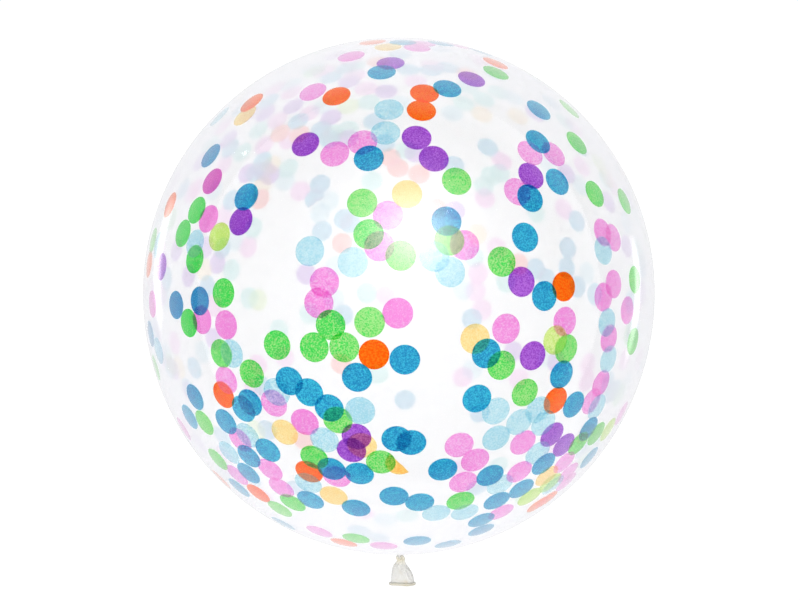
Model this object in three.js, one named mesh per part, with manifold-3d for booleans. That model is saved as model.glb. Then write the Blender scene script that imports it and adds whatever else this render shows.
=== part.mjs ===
// A clear latex balloon about a metre across, tied off with a knot and lying on its side.
// Millimetres. Z is up, the crown points along +Y and the tied neck along -Y.
// The origin is the centre of the small flat that the balloon rests on.

import * as THREE from "three";
import { mergeVertices } from "three/addons/utils/BufferGeometryUtils.js";
import Module from "manifold-3d";

// The blown body: its widest radius, and how far each end reaches from the widest section.
const equatorRadius = 500;
const crownLength = 500;
const neckSideLength = 511;
// The radius of the patch of skin pressed flat against the floor.
const restRadius = 60;

// The short neck between the body and the knot.
const neckRadius = 7.5;
const neckLength = 10;
// The radius at which the skin of the body turns outward into the neck.
const neckFlareRadius = 32;

// The knot: two wraps of the neck round itself, leaning opposite ways.
const knotLength = 12;
const knotRadius = 9.7;
const wrapThickness = 7;
const wrapLean = 0.28;

// The tail past the knot: a pinched waist that opens into a flattened mouth.
const tailLength = 49;
const waistRadius = 7.5;
const mouthHalfWidth = 23.2;
const mouthHalfDepth = 9;
const tailWall = 0.8;
// How far past the knot the tail's hollow begins, and the length of its tapered end.
const pinchLength = 8;
const hollowTaper = 4;
// How quickly the tail widens: a higher power opens it nearer to the knot.
const flarePower = 2.2;
// How far the tail's flattened section waves out of its plane.
const tailCurl = 2.5;

// The rolled bead round the lip of the mouth.
const beadRadius = 3.5;
// How far the bead's middle stands outside the mouth's wall.
const beadStandOff = 1;

// How far the knot and the lip sit to the side of the body's axis.
const knotSideways = 4;
const lipSideways = 7;

// How finely round forms are faceted.
const bodySegments = 64;
const crownSteps = 18;
const neckSideSteps = 18;
const flareSteps = 4;
const wrapSegments = 18;
const wrapSides = 8;
const tailSegments = 28;
const tailSteps = 8;
const beadSides = 8;

// Places along the axis, counted from the widest section.
const neckEnd = -(neckSideLength + neckLength);
const knotEnd = neckEnd - knotLength;
const lipEnd = knotEnd - tailLength;
const beadMiddle = lipEnd + beadRadius;
const tailFilmLength = knotEnd - beadMiddle;

// The body's middle stands this high when the skin is flat over the rest radius.
const middleHeight = Math.sqrt(equatorRadius ** 2 - restRadius ** 2);

// How far the neck, knot and tail lean sideways at a place along the axis.
function sideways(y) {
  if (y > -neckSideLength) {
    return 0;
  }
  if (y > knotEnd) {
    return knotSideways * THREE.MathUtils.smoothstep(-y, neckSideLength, -knotEnd);
  }
  return knotSideways + (lipSideways - knotSideways) * ((knotEnd - y) / tailLength);
}

// Moves every vertex by a function of its place.
function reshape(geometry, move) {
  const position = geometry.getAttribute("position");
  const vertex = new THREE.Vector3();
  for (let i = 0; i < position.count; i += 1) {
    vertex.fromBufferAttribute(position, i);
    move(vertex);
    position.setXYZ(i, vertex.x, vertex.y, vertex.z);
  }
  return geometry;
}

// The profile of the body and neck, from the neck's end up to the crown.
function bodyProfile() {
  const points = [new THREE.Vector2(0, knotEnd), new THREE.Vector2(neckRadius, knotEnd)];

  // The skin turns out of the neck in a hollow curve and meets the body at the flare radius.
  const flareAngle = Math.asin(neckFlareRadius / equatorRadius);
  const flareEnd = -neckSideLength * Math.cos(flareAngle);
  const flareWidth = neckFlareRadius - neckRadius;
  const flareLength = flareEnd - neckEnd;
  for (let i = 0; i < flareSteps; i += 1) {
    const turn = (i / flareSteps) * (Math.PI / 2);
    const across = neckRadius + flareWidth * (1 - Math.cos(turn));
    points.push(new THREE.Vector2(across, neckEnd + flareLength * Math.sin(turn)));
  }

  // The neck's side of the body is half an ellipse.
  for (let i = 0; i < neckSideSteps; i += 1) {
    const angle = flareAngle + (i / neckSideSteps) * (Math.PI / 2 - flareAngle);
    points.push(
      new THREE.Vector2(equatorRadius * Math.sin(angle), -neckSideLength * Math.cos(angle)),
    );
  }

  // The crown's side is rounder.
  for (let i = 0; i < crownSteps; i += 1) {
    const angle = (i / crownSteps) * (Math.PI / 2);
    points.push(new THREE.Vector2(equatorRadius * Math.cos(angle), crownLength * Math.sin(angle)));
  }
  points.push(new THREE.Vector2(0, crownLength));
  return points;
}

function bodyGeometry() {
  const geometry = new THREE.LatheGeometry(bodyProfile(), bodySegments);
  return reshape(geometry, (vertex) => {
    vertex.x += sideways(vertex.y);
  });
}

// One wrap of the knot: a ring round the neck, leaning one way.
function wrapGeometry(y, lean) {
  const tube = wrapThickness / 2;
  const geometry = new THREE.TorusGeometry(knotRadius - tube, tube, wrapSides, wrapSegments);
  geometry.rotateX(Math.PI / 2);
  geometry.rotateZ(lean);
  geometry.translate(sideways(y), y, 0);
  return geometry;
}

// The tail's opening-out, from 0 at the knot to 1 at the lip.
function flareShare(y) {
  const along = THREE.MathUtils.clamp((knotEnd - y) / tailFilmLength, 0, 1);
  return 1 - (1 - along) ** flarePower;
}

function tailHalfWidth(y) {
  return THREE.MathUtils.lerp(waistRadius, mouthHalfWidth, flareShare(y));
}

function tailHalfDepth(y) {
  return THREE.MathUtils.lerp(waistRadius, mouthHalfDepth, flareShare(y));
}

// The profile of the tail as if it were round: up its outside, over the bead and back up its inside.
function tailProfile() {
  const outside = [];
  const inside = [];
  const hollowStart = knotEnd - pinchLength;
  for (let i = 0; i < tailSteps; i += 1) {
    const y = knotEnd - tailFilmLength * (i / tailSteps);
    outside.push(new THREE.Vector2(tailHalfWidth(y), y));
  }
  for (let i = 0; i < tailSteps; i += 1) {
    const y = hollowStart - hollowTaper - (hollowStart - hollowTaper - beadMiddle) * (i / tailSteps);
    inside.push(new THREE.Vector2(tailHalfWidth(y) - tailWall, y));
  }

  // The bead's section is a circle that the wall runs into.
  const bead = [];
  const beadAcross = mouthHalfWidth + beadStandOff;
  const wallAngle = Math.acos(-beadStandOff / beadRadius);
  for (let i = 0; i <= beadSides; i += 1) {
    const angle = wallAngle - (i / beadSides) * (2 * Math.PI - 2 * (Math.PI - wallAngle));
    const across = beadAcross + beadRadius * Math.cos(angle);
    bead.push(new THREE.Vector2(across, beadMiddle + beadRadius * Math.sin(angle)));
  }

  const profile = [new THREE.Vector2(0, knotEnd), ...outside, ...bead];
  profile.push(...inside.reverse(), new THREE.Vector2(0, hollowStart));
  return profile.reverse();
}

// The tail, pressed flatter towards its mouth with its wall and bead as thick as before.
function tailGeometry() {
  const geometry = new THREE.LatheGeometry(tailProfile(), tailSegments);
  return reshape(geometry, (vertex) => {
    const width = tailHalfWidth(vertex.y);
    const depth = tailHalfDepth(vertex.y);
    const radius = Math.hypot(vertex.x, vertex.z);
    const core = width - 2 * beadRadius;
    if (radius > core) {
      vertex.z *= (depth + radius - width) / radius;
    } else if (radius > 0) {
      vertex.z *= (depth - 2 * beadRadius) / core;
    }
    vertex.z += tailCurl * flareShare(vertex.y) * Math.sin((Math.PI * vertex.x) / mouthHalfWidth);
    vertex.x += sideways(vertex.y);
  });
}

// Everything below the floor, which presses the body flat where it rests.
function belowFloorGeometry() {
  const side = 4 * equatorRadius;
  const geometry = new THREE.BoxGeometry(side, side, side);
  return geometry.translate(0, 0, -side / 2 - middleHeight);
}

const wasm = await Module();
wasm.setup();

// A closed geometry as a solid that can be joined and cut.
function solidOf(geometry) {
  geometry.deleteAttribute("normal");
  geometry.deleteAttribute("uv");
  const merged = mergeVertices(geometry);
  return new wasm.Manifold(
    new wasm.Mesh({
      numProp: 3,
      vertProperties: merged.getAttribute("position").array,
      triVerts: new Uint32Array(merged.index.array),
    }),
  );
}

function geometryOf(solid) {
  const mesh = solid.getMesh();
  const geometry = new THREE.BufferGeometry();
  geometry.setAttribute("position", new THREE.BufferAttribute(mesh.vertProperties, 3));
  geometry.setIndex(new THREE.BufferAttribute(mesh.triVerts, 1));
  geometry.computeVertexNormals();
  return geometry;
}

// The knot's wraps share its length, each with half of its thickness to either side.
const firstWrap = neckEnd - wrapThickness / 2;
const secondWrap = knotEnd + wrapThickness / 2;

const balloonSolid = solidOf(bodyGeometry())
  .add(solidOf(wrapGeometry(firstWrap, wrapLean)))
  .add(solidOf(wrapGeometry(secondWrap, -wrapLean)))
  .add(solidOf(tailGeometry()))
  .subtract(solidOf(belowFloorGeometry()));

const latex = new THREE.MeshStandardMaterial({
  color: 0xeeeeea,
  roughness: 0.12,
  metalness: 0,
  transparent: true,
  opacity: 0.3,
});

const balloon = new THREE.Mesh(geometryOf(balloonSolid), latex);
balloon.name = "balloon";
balloon.position.z = middleHeight;

const part = new THREE.Group();
part.add(balloon);

export default part;
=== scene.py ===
import math
import random

import bpy
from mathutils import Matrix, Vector


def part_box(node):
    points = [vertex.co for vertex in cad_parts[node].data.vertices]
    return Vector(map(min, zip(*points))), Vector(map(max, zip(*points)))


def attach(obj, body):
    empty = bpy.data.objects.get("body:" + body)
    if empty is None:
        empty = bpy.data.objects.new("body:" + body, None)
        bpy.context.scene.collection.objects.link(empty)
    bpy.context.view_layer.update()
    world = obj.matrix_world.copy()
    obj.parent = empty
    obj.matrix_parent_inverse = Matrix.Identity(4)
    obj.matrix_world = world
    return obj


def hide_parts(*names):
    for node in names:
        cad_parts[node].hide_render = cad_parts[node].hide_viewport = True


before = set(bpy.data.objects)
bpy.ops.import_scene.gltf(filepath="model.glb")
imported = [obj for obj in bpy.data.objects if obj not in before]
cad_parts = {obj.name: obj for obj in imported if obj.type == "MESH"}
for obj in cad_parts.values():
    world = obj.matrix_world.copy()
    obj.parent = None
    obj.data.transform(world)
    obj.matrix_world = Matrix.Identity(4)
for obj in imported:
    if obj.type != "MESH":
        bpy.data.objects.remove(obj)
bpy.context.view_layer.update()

# The body, worked out from the CAD node. Metres, Z up, crown along +Y, knot along -Y.
low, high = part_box("balloon")
EQUATOR_RADIUS = (high.x - low.x) / 2
CROWN_LENGTH = high.y
MIDDLE_HEIGHT = high.z - EQUATOR_RADIUS
LIP_END = low.y
NECK_SIDE_LENGTH = 0.511
MIDDLE = Vector((0, 0, MIDDLE_HEIGHT))

# The neck, knot and tail.
NECK_RADIUS = 0.0075
NECK_END = -(NECK_SIDE_LENGTH + 0.010)
NECK_FLARE_RADIUS = 0.032
KNOT_LENGTH = 0.012
KNOT_END = NECK_END - KNOT_LENGTH
KNOT_RADIUS = 0.0097
MOUTH_HALF_WIDTH = 0.0232
MOUTH_HALF_DEPTH = 0.009
TAIL_WALL = 0.0008
TAIL_CURL = 0.0025
FLARE_POWER = 2.2
BEAD_RADIUS = 0.0031
BEAD_MIDDLE = LIP_END + 0.0041
KNOT_SIDEWAYS = 0.004
LIP_SIDEWAYS = 0.007

# The confetti: tissue discs that cling to the inside of the skin, at small steps of depth where they
# overlap.
DISC_RADIUS = 0.0249
FIRST_DEPTH = 0.00025
DEPTH_STEP = 0.00012
MOST_LAYERS = 8
SKIN_DEPTH = FIRST_DEPTH + MOST_LAYERS * DEPTH_STEP

# The camera looks straight down on the lying balloon. Its focal length is in pixels of the
# 800 x 600 frame.
FRAME_WIDTH = 800
FRAME_HEIGHT = 600
FOCAL_PIXELS = 1254
CAMERA_DISTANCE = 2.5
CAMERA_ASIDE = 0.0022
CAMERA_BELOW = -0.0128
SENSOR_WIDTH = 36

# Places of the discs that cling to the near side, read from the 800 x 600 frame: across, down and, for
# some, how far the disc is
# set paler or deeper: partly its own tone, partly painted shade that deepens the discs on the left where
# less light reaches them.
NEAR_DISCS = {
    "blue": [
        (381.6, 71.8), (447.4, 88.2), (539, 109.7), (368.7, 158), (210.3, 155.4, -0.9), (538.3, 141.4),
        (557.6, 181.5), (530.4, 197.9), (245.9, 196.7, -0.6), (525.4, 237.2), (446.5, 221.1),
        (544.7, 296), (175.7, 305, -1.6), (199.3, 301, -2), (404.8, 359.8), (356.9, 377.5),
        (486.5, 353.6), (477.1, 398.8), (561.8, 374.7), (574, 404.8), (289, 381.3), (308.8, 392.6),
        (329.1, 408.2), (249.7, 402.9), (243.1, 409.1), (194.6, 397.3), (189.3, 417), (225.6, 421.9),
        (396.5, 439.2), (411.3, 443), (588.7, 429.3), (267.6, 450.5), (248.6, 456.5), (248.2, 473.5),
        (238.8, 488.1), (331.5, 469.3), (359.2, 474), (442.9, 469.9), (490.3, 475.9), (543.9, 464.3),
        (589.5, 458), (521.7, 489.1), (496.9, 501.3), (310.3, 500.4), (356, 508.5), (394, 496.6),
        (419.8, 502.8), (481.5, 520.5), (481.3, 530.5), (417.3, 541.3), (448, 544.6), (283, 523.9),
        (403, 42), (441, 43), (481, 51.5), (150.3, 333.9),
    ],
    "light_blue": [
        (388.8, 109.2), (385.4, 132.5), (194.6, 243.5), (309.6, 251), (352.7, 262.1, 1), (434.4, 256.5),
        (450.3, 272), (603.7, 250.4), (607.5, 322.6), (608.8, 359.3), (231.3, 353.6), (276.4, 392.2),
        (360.1, 411, -0.6), (324.4, 440.2), (247.2, 435.5), (228.8, 452.8), (496, 411.4), (519.5, 422.3),
        (538.3, 410), (543.6, 423.2), (496.3, 438.3), (597.2, 407.2), (537.9, 453.3), (500.3, 485),
        (308, 483.4), (464.9, 512.6), (436.3, 513.5), (553.3, 485.3), (158.3, 350.8), (157.7, 245.3),
        (219.2, 116.1),
    ],
    "green": [
        (496.1, 72.2), (577, 142.5), (569.6, 108.4), (456.8, 181, 0.6), (595.1, 193.6), (624.7, 201),
        (362.1, 202.7, 0.7), (368.5, 234), (400.8, 255.5, 0.8), (449.4, 240.4, 1.5), (501.9, 261.6, 0.3),
        (196.3, 210, -1.6), (182.5, 233.2, -1.6), (194.2, 259, -1.6), (223, 293, -0.8),
        (188.4, 323.1, -1.6), (330.4, 325, -0.5), (369.5, 322.2, 0.7), (314, 347.4, -0.3),
        (344.1, 347.4), (276.8, 345.2, -0.4), (220.9, 353.6), (251.4, 373.8), (501.6, 365.5),
        (566.5, 348.9, 0.5), (525.1, 392.8, 0.5), (337.6, 420.4), (204, 422.9), (380.8, 462.4),
        (314, 457.7), (217.5, 459.6), (578.7, 443.9), (596.6, 434), (279.6, 509.4), (292.4, 503.2),
        (460.6, 501.3), (356, 538.9), (635, 279.7), (633.3, 341.4), (152.5, 240.5), (155.6, 368),
    ],
    "lime": [
        (218.9, 236.6, -0.8), (555.6, 340.1, 0.5), (608.3, 429.8), (529.8, 497.2), (550.5, 483.4),
    ],
    "pink": [
        (351, 55.8), (422.4, 43), (417.2, 47.2), (459.4, 45.5), (312.7, 91.5), (362.5, 142),
        (334.6, 153.6), (530.4, 152.6), (553.8, 153.6), (517.6, 191.5), (388, 215.1), (379.4, 246.1),
        (464.6, 244.9), (208, 218.6, -1.6), (603.2, 232.3), (613.5, 237.5), (324.3, 282.3), (318.6, 303),
        (397.8, 313.2, -1.2), (614, 284), (603.8, 297), (627.7, 310.3), (506.3, 328.8), (565.2, 321.6),
        (609.4, 338.6), (152, 304), (201.5, 319.8, -1.6), (225.6, 325, -1), (226, 380.5), (601.3, 383.7),
        (591.9, 401.6), (273.6, 403.5), (304.6, 422.3, -0.8), (239.7, 440.2), (523.2, 443),
        (459.3, 445.4, 0.3), (475.3, 460.5), (463.4, 482.5), (519.5, 472.2), (564.6, 462.7),
        (568.4, 473.1), (566.5, 482.5), (236.9, 475.4), (269.8, 469.9), (281.1, 488.1), (336.6, 476.9),
        (501.2, 512.6), (319.3, 532), (383.7, 546.3), (183.3, 428.9), (622, 413.8),
    ],
    "magenta": [
        (211.8, 181, -0.5),
    ],
    "purple": [
        (390.6, 62.7), (471.8, 78.7), (416.7, 137.3), (433.9, 158.3), (305.3, 144, -0.5), (531.4, 175.5),
        (240.4, 221.1, -1), (521.7, 281.8), (533, 355.9), (356.4, 436.8), (351.3, 450.5), (552.4, 435.1),
        (564.3, 445.4), (160.8, 266.8),
    ],
    "orange": [
        (372.5, 41.7), (495.6, 62.7), (336.3, 95.8), (424.5, 92.9), (421.5, 110.1), (251.4, 102.3),
        (169.6, 204.8), (148.6, 264.2), (564.1, 286.6), (373.9, 354.6), (223.2, 395), (555.8, 400.7),
        (308.8, 472.2), (258, 493.8), (220.9, 479.7), (546.8, 500), (538.5, 504.8, 1), (343.8, 543.1),
    ],
    "peach": [
        (388, 46.4), (244.5, 115.2), (407, 194), (475.3, 338.9), (284.5, 432.6), (362, 445.8),
        (333.4, 496.2), (547.1, 476.3),
    ],
}

# Places of the discs on the far side, which show faintly through the skin.
FAR_DISCS = {
    "purple": [
        (293, 106), (331, 117), (265, 113), (247, 173), (270, 175), (264, 171), (386, 91), (349, 81),
        (306, 274), (217, 263), (206, 247), (455, 211), (513, 352), (567, 173), (213, 339), (228, 139),
        (415, 153), (535, 113), (609, 202), (627, 246), (176, 250), (188, 276), (556, 361), (199, 444),
        (348, 138),
    ],
    "blue": [
        (298, 121), (230, 148), (262, 161), (255, 172), (320, 184), (322, 231), (344, 219), (350, 223),
        (231, 200), (331, 77), (268, 101), (321, 129), (330, 139), (374, 121), (385, 143), (408, 69),
        (431, 70), (448, 67), (488, 147), (454, 165), (552, 102), (577, 221), (568, 248), (567, 268),
        (536, 269), (547, 279), (578, 287), (595, 294), (405, 400), (472, 319), (343, 315), (615, 391),
        (608, 383), (584, 449), (480, 413), (477, 488), (194, 368), (207, 286), (222, 248), (262, 386),
        (267, 430), (222, 437), (297, 489), (359, 531), (377, 538),
    ],
    "light_blue": [
        (329, 201), (320, 213), (285, 181), (235, 240), (323, 106), (291, 84), (312, 68), (214, 190),
        (452, 113), (463, 290), (587, 273), (473, 369), (202, 352), (334, 299), (513, 97), (548, 163),
        (580, 185), (627, 223), (547, 357), (166, 299), (167, 355), (385, 520), (627, 383), (336, 266),
        (400, 103),
    ],
    "mint": [
        (258, 130), (242, 152), (288, 168), (333, 133), (348, 129), (369, 102), (354, 66), (372, 181),
        (253, 228), (231, 270), (367, 293), (249, 298), (309, 314), (464, 103), (484, 99), (498, 92),
        (468, 87), (500, 173), (491, 176), (484, 186), (406, 150), (474, 257), (506, 282), (606, 180),
        (536, 212), (279, 330), (378, 374), (498, 466), (407, 516),
    ],
    "lime": [
        (348, 106), (258, 300), (256, 430),
    ],
    "orange": [
        (280, 133), (299, 134), (342, 243), (390, 157), (398, 168), (419, 174), (437, 208), (260, 199),
        (519, 264), (341, 364), (303, 441),
    ],
    "pink": [
        (277, 120), (289, 140), (264, 145), (309, 113), (300, 191), (291, 92), (275, 88), (355, 75),
        (366, 88), (416, 81), (223, 165), (196, 188), (223, 217), (248, 247), (386, 295), (502, 161),
        (485, 198), (564, 209), (582, 166), (478, 273), (476, 291), (482, 310), (497, 248), (214, 306),
        (284, 357), (258, 365), (253, 389), (174, 343), (463, 377), (519, 379), (588, 364), (587, 381),
        (461, 468), (552, 452), (363, 513),
    ],
    "peach": [
        (262, 185), (271, 165), (482, 114), (518, 116), (477, 234), (204, 270),
    ],
}

# Discs folded over: colour, place, whether on the far side, the way the folded part pointed in degrees,
# and how far the fold is from the disc's middle.
FOLDED_DISCS = [
    ("peach", (399.7, 463.6), False, 41, 0.04),
    ("blue", (314.5, 199), True, 232, 0.5),
]

# How many more discs lie round the body where the camera sees it edge-on, how low and high they reach as
# shares of the radius, and how uneven the paleness of the discs is.
EDGE_DISCS = 105
EDGE_LOWEST = -0.26
EDGE_HIGHEST = 0.12
MOST_UNEVEN = 0.4
DICE_SEED = 7

# Colours of the tissue, linear: its pale fibres, and the denser grain between them.
TISSUE = {
    "blue": ((0.085, 0.66, 0.82), (0.030, 0.31, 0.60)),
    "light_blue": ((0.76, 0.93, 0.95), (0.44, 0.74, 0.85)),
    "green": ((0.50, 0.86, 0.35), (0.06, 0.75, 0.13)),
    "mint": ((0.60, 0.90, 0.84), (0.22, 0.73, 0.66)),
    "lime": ((0.85, 0.94, 0.50), (0.60, 0.84, 0.18)),
    "pink": ((0.97, 0.65, 0.91), (0.91, 0.30, 0.75)),
    "magenta": ((0.85, 0.20, 0.70), (0.70, 0.10, 0.55)),
    "purple": ((0.61, 0.24, 0.82), (0.34, 0.065, 0.61)),
    "orange": ((1.0, 0.29, 0.020), (1.0, 0.12, 0.001)),
    "peach": ((1.0, 0.90, 0.54), (1.0, 0.72, 0.30)),
}


# Node helpers.

def new_material(name):
    material = bpy.data.materials.new(name)
    material.use_nodes = True
    tree = material.node_tree
    tree.nodes.clear()
    output = tree.nodes.new("ShaderNodeOutputMaterial")
    return material, tree, output


def add_node(tree, kind, values=None, **settings):
    made = tree.nodes.new(kind)
    for key, value in settings.items():
        setattr(made, key, value)
    for key, value in (values or {}).items():
        socket = made.inputs[key]
        if isinstance(value, bpy.types.NodeSocket):
            tree.links.new(value, socket)
        else:
            socket.default_value = value
    return made


def math_node(tree, operation, *values):
    made = tree.nodes.new("ShaderNodeMath")
    made.operation = operation
    for place, value in enumerate(values):
        if isinstance(value, bpy.types.NodeSocket):
            tree.links.new(value, made.inputs[place])
        else:
            made.inputs[place].default_value = value
    return made.outputs[0]


def noise(tree, vector, scale, detail=3.0, roughness=0.55):
    made = add_node(tree, "ShaderNodeTexNoise", {"Scale": scale, "Detail": detail, "Roughness": roughness})
    tree.links.new(vector, made.inputs["Vector"])
    return made.outputs["Fac"]


def object_place(tree):
    return tree.nodes.new("ShaderNodeTexCoord").outputs["Object"]


def ramp(tree, factor, stops):
    made = tree.nodes.new("ShaderNodeValToRGB")
    elements = made.color_ramp.elements
    while len(elements) < len(stops):
        elements.new(0.5)
    for element, (place, colour) in zip(elements, stops):
        element.position = place
        element.color = (*colour, 1)
    tree.links.new(factor, made.inputs["Fac"])
    return made.outputs["Color"]


def mix_shaders(tree, factor, first, second):
    made = tree.nodes.new("ShaderNodeMixShader")
    if isinstance(factor, bpy.types.NodeSocket):
        tree.links.new(factor, made.inputs[0])
    else:
        made.inputs[0].default_value = factor
    tree.links.new(first, made.inputs[1])
    tree.links.new(second, made.inputs[2])
    return made.outputs[0]


# Materials.

# How much one face of the film mirrors head-on, and how late that rises towards grazing.
HEAD_ON_SHINE = 0.04
SHINE_POWER = 4.5


def film_shine(tree, facing):
    """How much both faces of a thin sheet mirror, by the angle it is seen at."""
    grazing = math_node(tree, "POWER", facing, SHINE_POWER)
    one_face = math_node(tree, "MULTIPLY_ADD", grazing, 1 - HEAD_ON_SHINE, HEAD_ON_SHINE)
    both = math_node(tree, "MULTIPLY", one_face, 2.0)
    return math_node(tree, "DIVIDE", both, math_node(tree, "ADD", one_face, 1.0))


def clear_skin_material():
    """The glossy outer face of the skin."""
    material, tree, output = new_material("clear_latex_outside")
    place = object_place(tree)
    clear = add_node(tree, "ShaderNodeBsdfTransparent", {"Color": (1, 1, 1, 1)})
    streaks = noise(tree, place, 9.0, 2.0)
    polish = add_node(tree, "ShaderNodeMapRange", {"Value": streaks, "To Min": 0.05, "To Max": 0.11})
    facing = add_node(tree, "ShaderNodeLayerWeight", {"Blend": 0.5}).outputs["Facing"]
    # The mirror colour greys towards grazing: painted shade that darkens the rim of the skin.
    painted_rim_shade = ramp(tree, facing, [(0.4, (1, 1, 1)), (1.0, (0.84, 0.84, 0.85))])
    gloss = add_node(tree, "ShaderNodeBsdfGlossy", {"Color": painted_rim_shade, "Roughness": polish.outputs[0]})
    shine = film_shine(tree, facing)
    shader = mix_shaders(tree, shine, clear.outputs[0], gloss.outputs[0])
    tree.links.new(shader, output.inputs["Surface"])
    return material


# How much the milky film covers head-on, and how late it closes up towards grazing.
HAZE_HEAD_ON = 0.55
HAZE_GRAZING_POWER = 2.5


def milky_skin_material():
    """The milky body of the skin, behind what clings to it."""
    material, tree, output = new_material("clear_latex_inside")
    place = object_place(tree)
    clear = add_node(tree, "ShaderNodeBsdfTransparent", {"Color": (1, 1, 0.91, 1)})
    cloud = noise(tree, place, 7.0, 3.0)
    shade = ramp(tree, cloud, [(0.3, (0.897, 0.897, 0.958)), (0.7, (0.917, 0.917, 0.973))])
    front = add_node(tree, "ShaderNodeBsdfDiffuse", {"Color": shade})
    through = add_node(tree, "ShaderNodeBsdfTranslucent", {"Color": shade})
    scatter = mix_shaders(tree, 0.5, front.outputs[0], through.outputs[0])
    facing = add_node(tree, "ShaderNodeLayerWeight", {"Blend": 0.5}).outputs["Facing"]
    grazing = math_node(tree, "POWER", facing, HAZE_GRAZING_POWER)
    haze = math_node(tree, "MULTIPLY_ADD", grazing, 1 - HAZE_HEAD_ON, HAZE_HEAD_ON)
    shader = mix_shaders(tree, haze, clear.outputs[0], scatter)
    tree.links.new(shader, output.inputs["Surface"])
    return material


# The shares of the light that tissue filters, and that its fibres pass on, and how far a disc's set value
# shifts its colour, a value that is partly the disc's own tone and partly painted shade.
FILTER_SHARE = 0.72
THROUGH_SHARE = 0.7
TONE_AND_SHADE_SHIFT = 0.06


def tissue_material(name, paper, grain):
    """Thin tissue paper: it filters the light that comes through, and its fibres make a mottled grain."""
    material, tree, output = new_material(name)
    place = object_place(tree)
    coarse = noise(tree, place, 380.0, 1.0, 0.5)
    fine = noise(tree, place, 800.0, 1.0, 0.5)
    speckle = math_node(tree, "MULTIPLY_ADD", fine, 0.4, math_node(tree, "MULTIPLY", coarse, 0.6))
    # Each disc's set value: partly its own paler or deeper tone, partly painted shade that deepens the
    # discs on the left.
    disc_tone_and_painted_shade = add_node(tree, "ShaderNodeAttribute", attribute_name="tone_and_painted_shade").outputs["Fac"]
    speckle_tone_and_shade = math_node(tree, "MULTIPLY_ADD", disc_tone_and_painted_shade, TONE_AND_SHADE_SHIFT, speckle)
    colour = ramp(tree, speckle_tone_and_shade, [(0.43, grain), (0.58, paper)])
    bump = add_node(tree, "ShaderNodeBump", {"Height": speckle, "Strength": 0.4, "Distance": 0.0003})
    normal = bump.outputs[0]
    paper_filter = add_node(tree, "ShaderNodeBsdfTransparent", {"Color": colour})
    front = add_node(tree, "ShaderNodeBsdfDiffuse", {"Color": colour, "Normal": normal})
    through = add_node(tree, "ShaderNodeBsdfTranslucent", {"Color": colour, "Normal": normal})
    fibres = mix_shaders(tree, THROUGH_SHARE, front.outputs[0], through.outputs[0])
    shader = mix_shaders(tree, FILTER_SHARE, fibres, paper_filter.outputs[0])
    tree.links.new(shader, output.inputs["Surface"])
    return material


# How much the thick latex hides what is behind it, and how much it mirrors.
LATEX_COVER = 0.62
LATEX_SHINE = 0.03


def thick_latex_material():
    """The unstretched latex: ivory, yellower in the knot and darker in the rolled lip."""
    material, tree, output = new_material("ivory_latex")
    place = object_place(tree)
    cloud = noise(tree, place, 90.0, 4.0)
    along = add_node(tree, "ShaderNodeSeparateXYZ", {"Vector": place})
    wander = math_node(tree, "MULTIPLY_ADD", cloud, 0.004, along.outputs["Y"])
    from_lip = add_node(
        tree,
        "ShaderNodeMapRange",
        {"Value": wander, "From Min": LIP_END, "From Max": NECK_END, "To Min": 0.0, "To Max": 1.0},
    )
    colour = ramp(tree, from_lip.outputs[0], [
        (0.11, (0.47, 0.44, 0.345)),
        (0.16, (0.61, 0.605, 0.585)),
        (0.70, (0.605, 0.60, 0.575)),
        (0.86, (0.65, 0.615, 0.50)),
    ])
    stain_place = noise(tree, place, 45.0, 2.0)
    stain = ramp(tree, stain_place, [(0.50, (1.0, 1.0, 1.0)), (0.68, (0.90, 0.86, 0.76))])
    stained = add_node(
        tree,
        "ShaderNodeMix",
        {"Factor": 1.0, "A": colour, "B": stain},
        data_type="RGBA",
        blend_type="MULTIPLY",
    )
    creases = noise(tree, place, 260.0, 3.0)
    bump = add_node(tree, "ShaderNodeBump", {"Height": creases, "Strength": 0.12, "Distance": 0.0003})
    polish = add_node(tree, "ShaderNodeMapRange", {"Value": cloud, "To Min": 0.5, "To Max": 0.65})
    normal = bump.outputs[0]
    matt = add_node(tree, "ShaderNodeBsdfDiffuse", {"Color": stained.outputs["Result"], "Normal": normal})
    gloss = add_node(tree, "ShaderNodeBsdfGlossy", {"Color": (1, 1, 1, 1), "Roughness": polish.outputs[0]})
    latex = mix_shaders(tree, LATEX_SHINE, matt.outputs[0], gloss.outputs[0])
    clear = add_node(tree, "ShaderNodeBsdfTransparent", {"Color": (1, 1, 1, 1)})
    shader = mix_shaders(tree, LATEX_COVER, clear.outputs[0], latex)
    tree.links.new(shader, output.inputs["Surface"])
    return material


# Shapes.

def make_object(name, vertices, faces, materials, face_slots=None):
    mesh = bpy.data.meshes.new(name)
    mesh.from_pydata([tuple(v) for v in vertices], [], faces)
    for material in materials:
        mesh.materials.append(material)
    if face_slots:
        mesh.polygons.foreach_set("material_index", face_slots)
    mesh.polygons.foreach_set("use_smooth", [True] * len(mesh.polygons))
    mesh.update()
    made = bpy.data.objects.new(name, mesh)
    bpy.context.scene.collection.objects.link(made)
    return made


def smooth_step(value, start, end):
    share = min(max((value - start) / (end - start), 0.0), 1.0)
    return share * share * (3 - 2 * share)


def sideways(y):
    """How far the neck, knot and tail lean sideways at a place along the axis."""
    if y > -NECK_SIDE_LENGTH:
        return 0.0
    if y > KNOT_END:
        return KNOT_SIDEWAYS * smooth_step(-y, NECK_SIDE_LENGTH, -KNOT_END)
    return KNOT_SIDEWAYS + (LIP_SIDEWAYS - KNOT_SIDEWAYS) * (KNOT_END - y) / (KNOT_END - LIP_END)


BODY_STEPS = 60
FLARE_STEPS = 10


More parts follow.
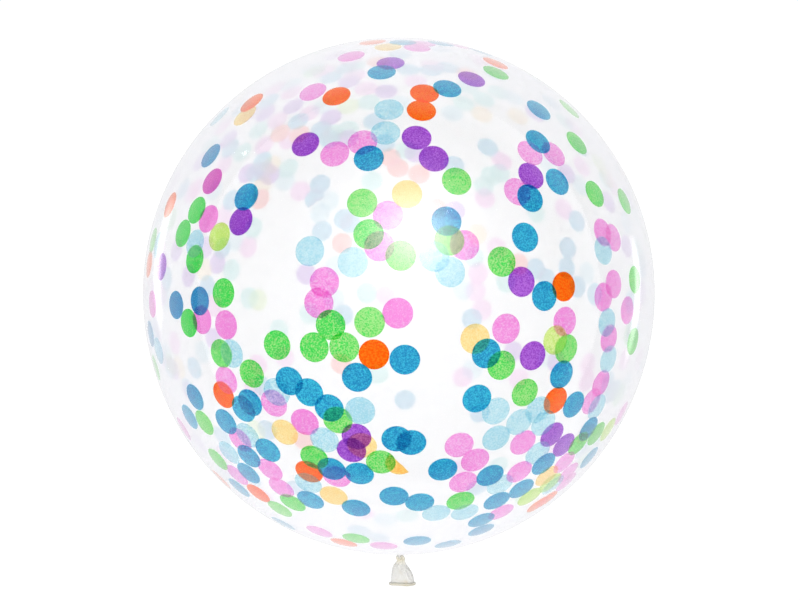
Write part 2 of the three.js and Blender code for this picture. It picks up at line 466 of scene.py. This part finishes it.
def body_profile(inset):
    """Places (radius, y) from the knot up to the crown, that far inside the skin's outer face."""
    radius = EQUATOR_RADIUS - inset
    neck = NECK_RADIUS - inset
    places = [(neck, KNOT_END + KNOT_LENGTH / 2)]
    flare_angle = math.asin(NECK_FLARE_RADIUS / radius)
    flare_end = -(NECK_SIDE_LENGTH - inset) * math.cos(flare_angle)
    for i in range(FLARE_STEPS):
        turn = i / FLARE_STEPS * math.pi / 2
        across = neck + (NECK_FLARE_RADIUS - neck) * (1 - math.cos(turn))
        places.append((across, NECK_END + (flare_end - NECK_END) * math.sin(turn)))
    for i in range(BODY_STEPS):
        angle = flare_angle + (math.pi / 2 - flare_angle) * i / BODY_STEPS
        places.append((radius * math.sin(angle), -(NECK_SIDE_LENGTH - inset) * math.cos(angle)))
    for i in range(BODY_STEPS):
        angle = math.pi / 2 * i / BODY_STEPS
        places.append((radius * math.cos(angle), (CROWN_LENGTH - inset) * math.sin(angle)))
    return places


BODY_SIDES = 224


def body_shell(inset, turned):
    """One face of the skin as vertices and faces, pressed flat where it meets the floor."""
    places = body_profile(inset)
    vertices = []
    for radius, y in places:
        for i in range(BODY_SIDES):
            turn = 2 * math.pi * i / BODY_SIDES
            z = MIDDLE_HEIGHT + radius * math.sin(turn)
            vertices.append((radius * math.cos(turn) + sideways(y), y, max(z, inset)))
    crown = len(vertices)
    vertices.append((0, CROWN_LENGTH - inset, MIDDLE_HEIGHT))
    faces = []
    for row in range(len(places) - 1):
        for i in range(BODY_SIDES):
            j = (i + 1) % BODY_SIDES
            near, far = row * BODY_SIDES, (row + 1) * BODY_SIDES
            faces.append((near + i, far + i, far + j, near + j))
    last = (len(places) - 1) * BODY_SIDES
    for i in range(BODY_SIDES):
        faces.append((last + i, crown, last + (i + 1) % BODY_SIDES))
    if turned:
        faces = [tuple(reversed(face)) for face in faces]
    return vertices, faces


def make_skin(outside, inside):
    outer_vertices, outer_faces = body_shell(0, False)
    inner_vertices, inner_faces = body_shell(SKIN_DEPTH, True)
    shift = len(outer_vertices)
    faces = outer_faces + [tuple(i + shift for i in face) for face in inner_faces]
    slots = [0] * len(outer_faces) + [1] * len(inner_faces)
    return make_object("balloon_skin", outer_vertices + inner_vertices, faces, [outside, inside], slots)


def on_skin(direction, depth):
    """The place on the inside of the skin, that deep, in a direction from the body's middle."""
    length = CROWN_LENGTH if direction.y > 0 else NECK_SIDE_LENGTH
    stretched = math.sqrt(
        (direction.x**2 + direction.z**2) / (EQUATOR_RADIUS - depth) ** 2
        + direction.y**2 / (length - depth) ** 2
    )
    place = MIDDLE + direction / stretched
    place.z = max(place.z, depth)
    return place


# Camera.

camera_place = MIDDLE + Vector((CAMERA_ASIDE, CAMERA_BELOW, CAMERA_DISTANCE))


def make_camera():
    data = bpy.data.cameras.new("camera")
    data.sensor_width = SENSOR_WIDTH
    data.lens = FOCAL_PIXELS / FRAME_WIDTH * SENSOR_WIDTH
    data.clip_start = 0.05
    data.clip_end = 100
    camera = bpy.data.objects.new("camera", data)
    camera.location = camera_place
    bpy.context.scene.collection.objects.link(camera)
    bpy.context.scene.camera = camera


MOST_PULLS = 60
PULL_STEP = 0.002


def skin_at_pixel(pixel, far):
    """The direction from the body's middle to the near or far skin that shows at a pixel."""
    ray = Vector((
        (pixel[0] - FRAME_WIDTH / 2) / FOCAL_PIXELS,
        (FRAME_HEIGHT / 2 - pixel[1]) / FOCAL_PIXELS,
        -1,
    ))
    start = camera_place - MIDDLE
    for pull in range(MOST_PULLS):
        # A place read just outside the outline is pulled in until its ray meets the skin.
        share = 1 - pull * PULL_STEP
        aim = Vector((
            ray.x * share - start.x / CAMERA_DISTANCE * (1 - share),
            ray.y * share - start.y / CAMERA_DISTANCE * (1 - share),
            -1,
        ))
        for length in (CROWN_LENGTH, NECK_SIDE_LENGTH):
            squash = Vector((1 / EQUATOR_RADIUS, 1 / length, 1 / EQUATOR_RADIUS))
            a_start, a_ray = start * squash, aim * squash
            a = a_ray.dot(a_ray)
            b = a_start.dot(a_ray)
            c = a_start.dot(a_start) - 1
            inside = b * b - a * c
            if inside < 0:
                continue
            reach = (-b + math.sqrt(inside)) / a if far else (-b - math.sqrt(inside)) / a
            hit = start + aim * reach
            if (hit.y > 0) == (length == CROWN_LENGTH):
                return hit.normalized()
    raise ValueError(f"no skin shows at {pixel}")


# Confetti.

DISC_RINGS = 3
DISC_SIDES = 28


def disc_points():
    """Places (u, v) of a disc's vertices in its own plane, from -1 to 1, and its faces."""
    points = [(0.0, 0.0)]
    faces = []
    for ring in range(1, DISC_RINGS + 1):
        for i in range(DISC_SIDES):
            turn = 2 * math.pi * i / DISC_SIDES
            points.append((ring / DISC_RINGS * math.cos(turn), ring / DISC_RINGS * math.sin(turn)))
    for i in range(DISC_SIDES):
        j = (i + 1) % DISC_SIDES
        faces.append((0, 1 + i, 1 + j))
        for ring in range(DISC_RINGS - 1):
            near, far = 1 + ring * DISC_SIDES, 1 + (ring + 1) * DISC_SIDES
            faces.append((near + i, far + i, far + j, near + j))
    return points, faces


class Disc:
    def __init__(self, colour, direction, tone_and_painted_shade=0.0, fold=None):
        self.colour = colour
        self.direction = direction
        self.tone_and_painted_shade = tone_and_painted_shade
        self.fold = fold
        self.layer = 0


def tangents(direction):
    along = Vector((0, 1, 0)) if abs(direction.y) < 0.9 else Vector((1, 0, 0))
    across = along.cross(direction).normalized()
    return across, direction.cross(across)


def place_layers(discs):
    """Gives overlapping discs different layers, the earlier ones nearer to the skin."""
    reach = 2 * DISC_RADIUS / EQUATOR_RADIUS
    for number, disc in enumerate(discs):
        taken = {
            other.layer
            for other in discs[:number]
            if (other.direction - disc.direction).length < reach
        }
        free = [layer for layer in range(MOST_LAYERS) if layer not in taken]
        disc.layer = free[0] if free else MOST_LAYERS - 1


def add_edge_discs(discs, dice):
    """Scatters more discs over the band that the camera sees edge-on."""
    colours = [disc.colour for disc in discs]
    for _ in range(EDGE_DISCS):
        direction = None
        while direction is None or not -0.93 < direction.y < 0.99:
            turn = dice.uniform(0, 2 * math.pi)
            up = dice.uniform(EDGE_LOWEST, EDGE_HIGHEST)
            flat = math.sqrt(1 - up * up)
            direction = Vector((flat * math.cos(turn), flat * math.sin(turn), up))
        discs.append(Disc(dice.choice(colours), direction, dice.uniform(-MOST_UNEVEN, MOST_UNEVEN)))


def make_confetti(colour, discs, material):
    """All the discs of one colour as one mesh, each curved to lie against the skin."""
    points, disc_faces = disc_points()
    vertices = []
    faces = []
    uvs = []
    tone_and_painted_shade = []
    cells = math.ceil(math.sqrt(len(discs)))
    for number, disc in enumerate(discs):
        across, up = tangents(disc.direction)
        depth = FIRST_DEPTH + disc.layer * DEPTH_STEP
        start = len(vertices)
        for u, v in points:
            lie_u, lie_v, lie_depth = u, v, depth
            if disc.fold is not None:
                turn, line = disc.fold
                along = u * math.cos(turn) + v * math.sin(turn)
                if along > line:
                    lie_u = u - 2 * (along - line) * math.cos(turn)
                    lie_v = v - 2 * (along - line) * math.sin(turn)
                    lie_depth = depth + DEPTH_STEP / 2
            spread = (across * lie_u + up * lie_v) * DISC_RADIUS / EQUATOR_RADIUS
            vertices.append(on_skin(disc.direction + spread, lie_depth))
            tone_and_painted_shade.append(disc.tone_and_painted_shade)
            uvs.append((
                (number % cells + 0.5 + 0.47 * u) / cells,
                (number // cells + 0.5 + 0.47 * v) / cells,
            ))
        faces.extend(tuple(start + i for i in face) for face in disc_faces)
    made = make_object("confetti_" + colour, vertices, faces, [material])
    made.data.attributes.new("tone_and_painted_shade", "FLOAT", "POINT").data.foreach_set("value", tone_and_painted_shade)
    uv_map = made.data.uv_layers.new(name="OFBake")
    for loop in made.data.loops:
        uv_map.data[loop.index].uv = uvs[loop.vertex_index]
    return made


make_camera()

discs = []
dice = random.Random(DICE_SEED)
for readings, far in ((NEAR_DISCS, False), (FAR_DISCS, True)):
    for colour, pixels in readings.items():
        for across, down, *tone_and_painted_shade in pixels:
            # A listed value is partly the disc's own tone and partly painted shade; the other discs get a
            # random tone.
            own_tone_and_painted_shade = tone_and_painted_shade[0] if tone_and_painted_shade else dice.uniform(-MOST_UNEVEN, MOST_UNEVEN)
            discs.append(Disc(colour, skin_at_pixel((across, down), far), own_tone_and_painted_shade))
for colour, pixel, far, turn, line in FOLDED_DISCS:
    discs.append(Disc(colour, skin_at_pixel(pixel, far), 0.0, (math.radians(turn), line)))
add_edge_discs(discs, dice)
place_layers(discs)

skin = make_skin(clear_skin_material(), milky_skin_material())
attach(skin, "root")
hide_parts("balloon")

for colour, (paper, grain) in TISSUE.items():
    name = colour + "_tissue"
    own = [disc for disc in discs if disc.colour == colour]
    confetti = make_confetti(colour, own, tissue_material(name, paper, grain))
    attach(confetti, "root")


# The tail and the knot.

# Edges of the tail, read from the 800 x 600 frame: down, left edge, right edge.
TAIL_EDGES = [
    (558.5, 397.6, 404.2),
    (560.5, 397.0, 404.5),
    (562.5, 395.5, 405.4),
    (565, 393.5, 407.0),
    (568, 392.4, 409.3),
    (572, 391.7, 411.9),
    (576, 391.3, 413.4),
    (580, 391.1, 413.9),
    (584, 391.0, 413.9),
]

# Folds of the tail, read the same way: where each starts and ends, its height and its half width.
TAIL_FOLDS = [
    ((402.0, 560.5), (396.8, 566.5), 0.0022, 0.0022),
    ((403.2, 562.0), (402.6, 567.5), -0.0024, 0.0026),
    ((407.0, 570.5), (411.8, 579.5), -0.0012, 0.0018),
    ((405.2, 570.0), (410.0, 580.0), 0.0010, 0.0020),
    ((398.5, 568.0), (396.5, 581.0), 0.0007, 0.0040),
]


def at_pixel(pixel, height):
    """The place at a height that shows at a pixel of the 800 x 600 frame."""
    away = (camera_place.z - height) / FOCAL_PIXELS
    return Vector((
        camera_place.x + (pixel[0] - FRAME_WIDTH / 2) * away,
        camera_place.y + (FRAME_HEIGHT / 2 - pixel[1]) * away,
        height,
    ))


def flare_share(y):
    along = min(max((KNOT_END - y) / (KNOT_END - BEAD_MIDDLE), 0.0), 1.0)
    return 1 - (1 - along) ** FLARE_POWER


def mixed(low_value, high_value, share):
    return low_value + (high_value - low_value) * share


def tail_edges(y):
    """The middle and the half width of the tail at a place along the axis."""
    rows = []
    for down, left, right in TAIL_EDGES:
        left_place = at_pixel((left, down), MIDDLE_HEIGHT)
        right_place = at_pixel((right, down), MIDDLE_HEIGHT)
        rows.append((left_place.y, (left_place.x + right_place.x) / 2, (right_place.x - left_place.x) / 2))
    if y >= rows[0][0]:
        return rows[0][1:]
    for above, below in zip(rows, rows[1:]):
        if y >= below[0]:
            share = (above[0] - y) / (above[0] - below[0])
            return mixed(above[1], below[1], share), mixed(above[2], below[2], share)
    return rows[-1][1:]


def fold_height(x, y):
    """How far the folds lift or sink the near side of the tail."""
    total = 0.0
    here = Vector((x, y))
    for start, end, height, half_width in TAIL_FOLDS:
        a = at_pixel(start, MIDDLE_HEIGHT).xy
        b = at_pixel(end, MIDDLE_HEIGHT).xy
        share = min(max((here - a).dot(b - a) / (b - a).length_squared, 0.0), 1.0)
        away = (here - a.lerp(b, share)).length / half_width
        total += height * math.exp(-away * away) * (1 - 0.5 * share)
    return total


TAIL_SIDES = 112
TAIL_STEPS = 40
BEAD_STEPS = 14
PLEATS = 7
# How far the tail runs up into the knot, how far past the knot its hollow begins, and how far the bead's
# middle stands outside the wall.
TAIL_OVERLAP = 0.004
PINCH_LENGTH = 0.008
BEAD_STAND_OFF = 0.001
WAIST_HALF_DEPTH = 0.0062
# How deep the pleats are as shares of the depth: at the knot, and at the lip.
KNOT_PLEAT = 0.10
LIP_PLEAT = 0.012
# How unevenly the lip is rolled.
BEAD_UNEVENNESS = 0.10


def tail_profile():
    """Places (how far outside the tail's wall, y) down its outside, over the bead and up its inside."""
    top = KNOT_END + TAIL_OVERLAP
    places = [(0.0, mixed(top, BEAD_MIDDLE, i / TAIL_STEPS)) for i in range(TAIL_STEPS)]
    wall_angle = math.acos(-BEAD_STAND_OFF / BEAD_RADIUS)
    sweep = 2 * math.pi - 2 * (math.pi - wall_angle)
    for i in range(BEAD_STEPS + 1):
        angle = wall_angle - i / BEAD_STEPS * sweep
        outside = BEAD_STAND_OFF + BEAD_RADIUS * math.cos(angle)
        places.append((outside, BEAD_MIDDLE + BEAD_RADIUS * math.sin(angle)))
    inside_top = KNOT_END - PINCH_LENGTH
    for i in range(1, TAIL_STEPS // 2 + 1):
        places.append((-TAIL_WALL, mixed(BEAD_MIDDLE, inside_top, 2 * i / TAIL_STEPS)))
    return places


def tail_point(turn, outside, y):
    middle, half_width = tail_edges(y)
    share = flare_share(y)
    half_depth = mixed(WAIST_HALF_DEPTH, MOUTH_HALF_DEPTH, share)
    pleat = KNOT_PLEAT * (1 - share) ** 1.5 + LIP_PLEAT
    ripple = 1 + pleat * math.cos(PLEATS * turn + 2.1 * math.sin(turn) + 9 * share)
    normal = Vector((math.cos(turn) * half_depth, math.sin(turn) * half_width)).normalized()
    x = half_width * math.cos(turn) * mixed(1, ripple, abs(math.sin(turn)))
    z = half_depth * math.sin(turn) * ripple
    x += normal.x * outside
    z += normal.y * outside
    curl = TAIL_CURL * share * math.sin(math.pi * x / MOUTH_HALF_WIDTH)
    fold = fold_height(x + middle, y) * math.sin(turn) if math.sin(turn) > 0 else 0.0
    return Vector((x + middle, y, MIDDLE_HEIGHT + z + curl + fold))


def tail_mesh():
    profile = tail_profile()
    vertices = []
    for outside, y in profile:
        for i in range(TAIL_SIDES):
            turn = 2 * math.pi * i / TAIL_SIDES
            roll = 1 + BEAD_UNEVENNESS * math.sin(5 * turn + 1.0) * math.sin(3 * turn)
            vertices.append(tail_point(turn, outside * (roll if outside > 0 else 1), y))
    faces = []
    for row in range(len(profile) - 1):
        for i in range(TAIL_SIDES):
            j = (i + 1) % TAIL_SIDES
            near, far = row * TAIL_SIDES, (row + 1) * TAIL_SIDES
            faces.append((near + j, far + j, far + i, near + i))
    return vertices, faces


def tube_mesh(path, radius, sides):
    """A round tube along a closed path, as vertices and faces."""
    count = len(path)
    vertices = []
    up = Vector((0, 0, 1))
    for i, place in enumerate(path):
        ahead = (path[(i + 1) % count] - path[i - 1]).normalized()
        aside = up if abs(ahead.dot(up)) < 0.95 else Vector((1, 0, 0))
        across = ahead.cross(aside).normalized()
        other = across.cross(ahead)
        for k in range(sides):
            turn = 2 * math.pi * k / sides
            vertices.append(place + (across * math.cos(turn) + other * math.sin(turn)) * radius)
    faces = []
    for i in range(count):
        near, far = i * sides, (i + 1) % count * sides
        for k in range(sides):
            m = (k + 1) % sides
            faces.append((near + k, far + k, far + m, near + m))
    return vertices, faces


KNOT_STRAND = 0.0033
KNOT_STEPS = 90
STRAND_SIDES = 16


def knot_path():
    """An overhand knot drawn tight round the neck, with two of its lobes towards the camera."""
    middle_y = (NECK_END + KNOT_END) / 2
    reach = (KNOT_RADIUS - KNOT_STRAND) / 3
    rise = KNOT_LENGTH / 2 - KNOT_STRAND
    path = []
    for i in range(KNOT_STEPS):
        turn = 2 * math.pi * i / KNOT_STEPS
        x = math.sin(turn) + 2 * math.sin(2 * turn)
        z = math.cos(turn) - 2 * math.cos(2 * turn)
        path.append(Vector((
            x * reach + sideways(middle_y),
            middle_y - rise * math.sin(3 * turn),
            MIDDLE_HEIGHT + z * reach,
        )))
    return path


def make_tail(material):
    vertices, faces = tail_mesh()
    tail = make_object("balloon_tail", vertices, faces, [material])
    knot_vertices, knot_faces = tube_mesh(knot_path(), KNOT_STRAND, STRAND_SIDES)
    knot = make_object("balloon_knot", knot_vertices, knot_faces, [material])
    return tail, knot


latex = thick_latex_material()
for piece in make_tail(latex):
    # The skin's mirror image of the tail would show as a grey plate beside the neck.
    piece.visible_glossy = False
    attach(piece, "root")


# Floor and light.

FLOOR_RADIUS = 9.0
FLOOR_GAP = 0.0005
FLOOR_SIDES = 64
WALL_HEIGHT = 3.3
WALL_GLOW = 0.75


def show_only_in_reflections(card):
    card.visible_camera = False
    card.visible_diffuse = False
    card.visible_shadow = False
    card.visible_transmission = False


# How brightly the floor glows.
FLOOR_GLOW = 0.93
# The mirrored glow of the floor as shares of that: in the middle, its loss for each metre to a side, and in
# front, on the knot's side. Then where the front begins and where it is full, and how much farther out both
# lie for each metre to a side.
MIDDLE_GLOW = 1.06
SIDE_LOSS = 0.16
FRONT_GLOW = 1.05
FRONT_START = -0.42
FRONT_FULL = -0.82
FRONT_SLOPE = 0.4
# The distances between which the mirrored glow fades, and what is left of it.
FADE_START = 2.7
FADE_END = 6.0
FAR_GLOW = 0.55


def mirrored_glow(tree):
    """How brightly the skin mirrors a spot of the floor: fading to both sides, though not in front."""
    place = add_node(tree, "ShaderNodeSeparateXYZ", {"Vector": object_place(tree)})
    x, y = place.outputs["X"], place.outputs["Y"]
    aside = math_node(tree, "ABSOLUTE", x)
    fading = math_node(tree, "MULTIPLY_ADD", aside, -SIDE_LOSS, MIDDLE_GLOW)
    beside = math_node(tree, "MAXIMUM", fading, 0.0)
    slanted = math_node(tree, "MULTIPLY_ADD", aside, FRONT_SLOPE, y)
    front = add_node(
        tree,
        "ShaderNodeMapRange",
        {"Value": slanted, "From Min": FRONT_START, "From Max": FRONT_FULL},
        interpolation_type="SMOOTHSTEP",
    ).outputs[0]
    brighter = math_node(tree, "MULTIPLY", front, math_node(tree, "SUBTRACT", FRONT_GLOW, beside))
    near = math_node(tree, "ADD", beside, brighter)
    away = math_node(tree, "SQRT", math_node(tree, "MULTIPLY_ADD", x, x, math_node(tree, "MULTIPLY", y, y)))
    fade = add_node(
        tree,
        "ShaderNodeMapRange",
        {"Value": away, "From Min": FADE_START, "From Max": FADE_END, "To Min": 1.0, "To Max": FAR_GLOW},
    ).outputs[0]
    return math_node(tree, "MULTIPLY", near, fade)


def light_table_material():
    """A matt white floor that glows, with a glow of its own for what the skin mirrors."""
    material, tree, output = new_material("white_floor")
    matt = add_node(tree, "ShaderNodeBsdfDiffuse", {"Color": (0.1, 0.1, 0.1, 1)})
    mirrored = tree.nodes.new("ShaderNodeLightPath").outputs["Is Glossy Ray"]
    change = math_node(tree, "MULTIPLY_ADD", mirrored_glow(tree), FLOOR_GLOW, -FLOOR_GLOW)
    strength = math_node(tree, "MULTIPLY_ADD", change, mirrored, FLOOR_GLOW)
    glow = add_node(tree, "ShaderNodeEmission", {"Color": (1, 1, 1, 1), "Strength": strength})
    both = tree.nodes.new("ShaderNodeAddShader")
    tree.links.new(matt.outputs[0], both.inputs[0])
    tree.links.new(glow.outputs[0], both.inputs[1])
    tree.links.new(both.outputs[0], output.inputs["Surface"])
    material.cycles.emission_sampling = "NONE"
    return material


def wall_material():
    """A white wall whose glow fades out upwards."""
    material, tree, output = new_material("white_wall")
    height = add_node(tree, "ShaderNodeSeparateXYZ", {"Vector": object_place(tree)}).outputs["Z"]
    fade = add_node(
        tree,
        "ShaderNodeMapRange",
        {"Value": height, "From Min": 0.0, "From Max": WALL_HEIGHT, "To Min": WALL_GLOW, "To Max": 0.0},
        interpolation_type="SMOOTHERSTEP",
    )
    glow = add_node(tree, "ShaderNodeEmission", {"Color": (1, 1, 1, 1), "Strength": fade.outputs[0]})
    tree.links.new(glow.outputs[0], output.inputs["Surface"])
    material.cycles.emission_sampling = "NONE"
    return material


def make_floor():
    """A lit white floor, and a wall round it that shows only in reflections."""
    sides = FLOOR_SIDES
    turns = [2 * math.pi * i / sides for i in range(sides)]
    low_ring = [(FLOOR_RADIUS * math.cos(turn), FLOOR_RADIUS * math.sin(turn), 0) for turn in turns]
    high_ring = [(x, y, WALL_HEIGHT) for x, y, _ in low_ring]
    floor_faces = [(sides, i, (i + 1) % sides) for i in range(sides)]
    floor = make_object("floor", [*low_ring, (0, 0, 0)], floor_faces, [light_table_material()])
    floor.location.z = -FLOOR_GAP
    wall_faces = [(i, (i + 1) % sides, sides + (i + 1) % sides, sides + i) for i in range(sides)]
    wall = make_object("wall", [*low_ring, *high_ring], wall_faces, [wall_material()])
    show_only_in_reflections(wall)


# The light of the sky: what it adds straight overhead, how bright it is all round, how much less comes
# from the right and from the crown's side, and how bright the camera sees it.
OVERHEAD_LIGHT = 3.7
ROUND_LIGHT = 0.41
RIGHT_LOSS = 0.12
BACK_LOSS = 0.27
SEEN_SKY = 1.1


def make_world():
    """Even light from above, stronger overhead, that gives soft shading but no reflections."""
    world = bpy.data.worlds.new("studio")
    world.use_nodes = True
    tree = world.node_tree
    tree.nodes.clear()
    output = tree.nodes.new("ShaderNodeOutputWorld")
    direction = tree.nodes.new("ShaderNodeTexCoord").outputs["Generated"]
    place = add_node(tree, "ShaderNodeSeparateXYZ", {"Vector": direction})
    height = math_node(tree, "MAXIMUM", place.outputs["Z"], 0.0)
    steep = math_node(tree, "POWER", height, 3.0)
    overhead = math_node(tree, "MULTIPLY_ADD", steep, OVERHEAD_LIGHT, ROUND_LIGHT)
    from_left = math_node(tree, "MULTIPLY_ADD", place.outputs["X"], -RIGHT_LOSS, overhead)
    slanted = math_node(tree, "MULTIPLY_ADD", place.outputs["Y"], -BACK_LOSS, from_left)
    light = add_node(tree, "ShaderNodeBackground", {"Color": (1, 1, 1, 1), "Strength": slanted})
    seen = add_node(tree, "ShaderNodeBackground", {"Color": (1, 1, 1, 1), "Strength": SEEN_SKY})
    by_camera = tree.nodes.new("ShaderNodeLightPath").outputs["Is Camera Ray"]
    sky = mix_shaders(tree, by_camera, light.outputs[0], seen.outputs[0])
    tree.links.new(sky, output.inputs["Surface"])
    world.cycles_visibility.glossy = False
    bpy.context.scene.world = world


def card_material(name, radiance, falloff):
    """A glow that a falloff function shapes from the card's own UV."""
    material, tree, output = new_material(name)
    across = tree.nodes.new("ShaderNodeUVMap").outputs[0]
    parts = add_node(tree, "ShaderNodeSeparateXYZ", {"Vector": across})
    shape = falloff(tree, parts.outputs["X"], parts.outputs["Y"])
    strength = math_node(tree, "MULTIPLY", shape, radiance)
    glow = add_node(tree, "ShaderNodeEmission", {"Color": (1, 1, 1, 1), "Strength": strength})
    clear = add_node(tree, "ShaderNodeBsdfTransparent", {"Color": (1, 1, 1, 1)})
    both = add_node(tree, "ShaderNodeAddShader")
    tree.links.new(glow.outputs[0], both.inputs[0])
    tree.links.new(clear.outputs[0], both.inputs[1])
    tree.links.new(both.outputs[0], output.inputs["Surface"])
    material.cycles.emission_sampling = "NONE"
    return material


def bell(tree, u, v):
    """Brightest in the middle, fading like a bell curve with the set softness."""
    x = math_node(tree, "SUBTRACT", u, 0.5)
    y = math_node(tree, "SUBTRACT", v, 0.5)
    squared = math_node(tree, "MULTIPLY_ADD", x, x, math_node(tree, "MULTIPLY", y, y))
    return math_node(tree, "EXPONENT", math_node(tree, "MULTIPLY", squared, -0.5 / BELL_SOFTNESS**2))


def band(tree, u, v):
    """Fades at both sides and at both ends."""
    sides = math_node(tree, "SINE", math_node(tree, "MULTIPLY", u, math.pi))
    ends = math_node(tree, "SINE", math_node(tree, "MULTIPLY", v, math.pi))
    soft_sides = math_node(tree, "POWER", sides, 1.5)
    soft_ends = math_node(tree, "POWER", ends, 0.7)
    return math_node(tree, "MULTIPLY", soft_sides, soft_ends)


def with_uv(made, uvs):
    uv_map = made.data.uv_layers.new(name="card")
    for loop in made.data.loops:
        uv_map.data[loop.index].uv = uvs[loop.vertex_index]
    return made


BELL_SOFTNESS = 0.175

# The glare near the middle, a bright core in a wide glow: place in the 800 x 600 frame, the cards'
# distance and side in metres, and their radiance.
GLARES = [
    ("glare_core", (417, 235), 3.2, 3.4, 5.8),
    ("glare_glow", (406, 238), 3.25, 7.0, 2.4),
]


def reflected_card(name, pixel, distance, side, material):
    """A square card that the skin mirrors at a pixel of the 800 x 600 frame."""
    out = skin_at_pixel(pixel, far=False)
    place = on_skin(out, 0)
    sight = (place - camera_place).normalized()
    mirrored = sight - 2 * sight.dot(out) * out
    across, up = tangents(mirrored)
    middle = place + mirrored * distance
    corners = [(-1, -1), (1, -1), (1, 1), (-1, 1)]
    vertices = [middle + (across * x + up * y) * side / 2 for x, y in corners]
    card = make_object(name, vertices, [(0, 1, 2, 3)], [material])
    show_only_in_reflections(with_uv(card, [((x + 1) / 2, (y + 1) / 2) for x, y in corners]))


# Soft strips on the floor that the edges of the body mirror: where each starts and ends, and its width
# and radiance.
STRIPS = [
    ("left_strip", (-1.10, 0.47), (-1.40, -0.19), 0.34, 1.9),
    ("right_strip", (1.33, 0.34), (1.52, -0.45), 0.32, 2.0),
]


STRIP_HEIGHT = 0.002


def strip_card(name, start, end, width, radiance):
    start, end = Vector((*start, STRIP_HEIGHT)), Vector((*end, STRIP_HEIGHT))
    aside = (end - start).cross(Vector((0, 0, 1))).normalized() * width / 2
    vertices = [start - aside, start + aside, end + aside, end - aside]
    card = make_object(name, vertices, [(0, 1, 2, 3)], [card_material(name, radiance, band)])
    show_only_in_reflections(with_uv(card, [(0, 0), (1, 0), (1, 1), (0, 1)]))


# Small highlights: where each shows in the 800 x 600 frame, and the width of its lamp.
SPARKLE_DISTANCE = 3.0
SPARKLE_RADIANCE = 12.0
SPARKLES = [((197, 143), 0.14), ((245, 153), 0.12), ((447, 212), 0.08), ((468, 516), 0.10)]


def make_lights():
    for name, pixel, distance, side, radiance in GLARES:
        reflected_card(name, pixel, distance, side, card_material(name, radiance, bell))
    for strip in STRIPS:
        strip_card(*strip)
    for number, (pixel, width) in enumerate(SPARKLES):
        lamp = card_material("sparkle", SPARKLE_RADIANCE, bell)
        reflected_card(f"sparkle_{number}", pixel, SPARKLE_DISTANCE, width, lamp)


make_floor()
make_world()
make_lights()

scene = bpy.context.scene
scene.view_settings.view_transform = "Standard"
scene.cycles.max_bounces = 16
scene.cycles.transparent_max_bounces = 48
scene.cycles.use_denoising = True
scene.cycles.denoising_prefilter = "FAST"
